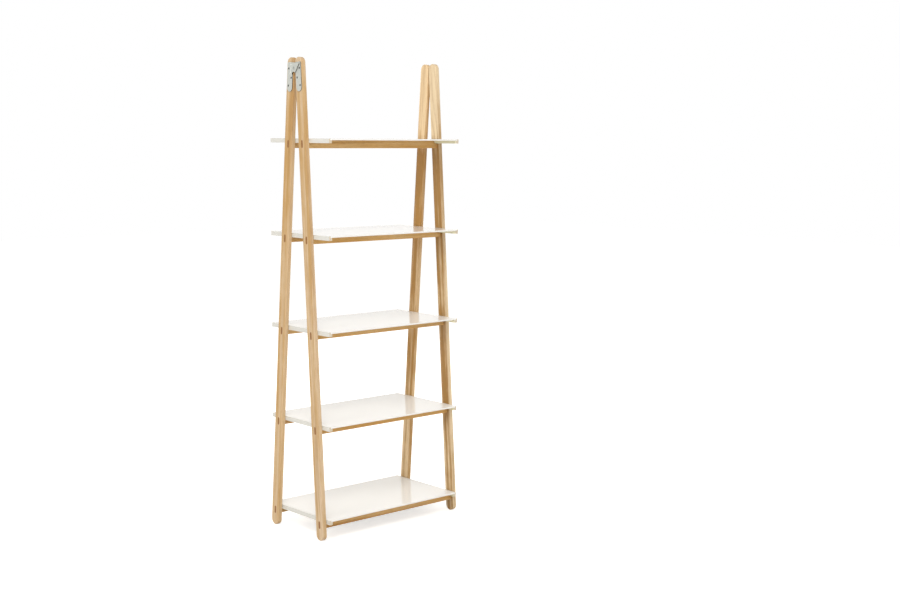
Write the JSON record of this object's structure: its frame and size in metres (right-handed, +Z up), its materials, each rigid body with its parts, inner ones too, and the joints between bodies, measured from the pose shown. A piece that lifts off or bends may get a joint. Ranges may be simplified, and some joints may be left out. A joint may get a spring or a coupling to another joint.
{
  "type": "folding ladder bookcase",
  "caption": "Free-standing A-frame bookcase: two hinged wooden ladders carry open white lift-off shelves on their rungs.",
  "frame": {"origin": "on the floor under the middle of the shelves", "axes": "+X to the right along the shelves, -Y towards the front, +Z up"},
  "size_m": [0.7242, 0.39, 1.9],
  "materials": {
    "ash": "clear matt lacquer",
    "ash_rung": "clear matt lacquer",
    "white_laminate": "gloss",
    "white_cleat": "white lacquer, bare ends",
    "zinc_plate": "satin zinc",
    "screw_steel": "satin"
  },
  "bodies": {
    "rear_ladder": {"leg_rear_left": "ash", "leg_rear_right": "ash", "rung_rear_1": "ash_rung", "rung_rear_2": "ash_rung", "rung_rear_3": "ash_rung", "rung_rear_4": "ash_rung", "rung_rear_5": "ash_rung", "hinge_plate_rear_left": "zinc_plate", "hinge_plate_rear_right": "zinc_plate", "hinge_screws_rear_left": "screw_steel", "hinge_screws_rear_right": "screw_steel", "hinge_rivet_left": "screw_steel", "hinge_rivet_right": "screw_steel"},
    "front_ladder": {"leg_front_left": "ash", "leg_front_right": "ash", "rung_front_1": "ash_rung", "rung_front_2": "ash_rung", "rung_front_3": "ash_rung", "rung_front_4": "ash_rung", "rung_front_5": "ash_rung", "hinge_plate_front_left": "zinc_plate", "hinge_plate_front_right": "zinc_plate", "hinge_screws_front_left": "screw_steel", "hinge_screws_front_right": "screw_steel"},
    "shelf_1": {"shelf_board_1": "white_laminate", "shelf_cleat_1_left": "white_cleat", "shelf_cleat_1_right": "white_cleat"},
    "shelf_2": {"shelf_board_2": "white_laminate", "shelf_cleat_2_left": "white_cleat", "shelf_cleat_2_right": "white_cleat"},
    "shelf_3": {"shelf_board_3": "white_laminate", "shelf_cleat_3_left": "white_cleat", "shelf_cleat_3_right": "white_cleat"},
    "shelf_4": {"shelf_board_4": "white_laminate", "shelf_cleat_4_left": "white_cleat", "shelf_cleat_4_right": "white_cleat"},
    "shelf_5": {"shelf_board_5": "white_laminate", "shelf_cleat_5_left": "white_cleat", "shelf_cleat_5_right": "white_cleat"}
  },
  "joints": [
    {"name": "fold", "type": "hinge", "parent": "rear_ladder", "child": "front_ladder", "pos_m": [0, 0, 1.857], "axis": [1, 0, 0], "range_deg": [0, 8]},
    {"name": "shelf_1_lift", "type": "slide", "parent": "rear_ladder", "child": "shelf_1", "axis": [0, 0.4138, 0.9104], "range_m": [0, 0.30007]},
    {"name": "shelf_2_lift", "type": "slide", "parent": "rear_ladder", "child": "shelf_2", "axis": [0, 0.4138, 0.9104], "range_m": [0, 0.2368]},
    {"name": "shelf_3_lift", "type": "slide", "parent": "rear_ladder", "child": "shelf_3", "axis": [0, 0.4138, 0.9104], "range_m": [0, 0.17354]},
    {"name": "shelf_4_lift", "type": "slide", "parent": "rear_ladder", "child": "shelf_4", "axis": [0, 0.4138, 0.9104], "range_m": [0, 0.11027]},
    {"name": "shelf_5_lift", "type": "slide", "parent": "rear_ladder", "child": "shelf_5", "axis": [0, 0.4138, 0.9104], "range_m": [0, 0.047]}
  ],
  "couplings": [
    {"joint": "shelf_1_lift", "follows": "fold", "m_per_rad": 2.1484},
    {"joint": "shelf_2_lift", "follows": "fold", "m_per_rad": 1.6952},
    {"joint": "shelf_3_lift", "follows": "fold", "m_per_rad": 1.2421},
    {"joint": "shelf_4_lift", "follows": "fold", "m_per_rad": 0.78902},
    {"joint": "shelf_5_lift", "follows": "fold", "m_per_rad": 0.33591}
  ]
}
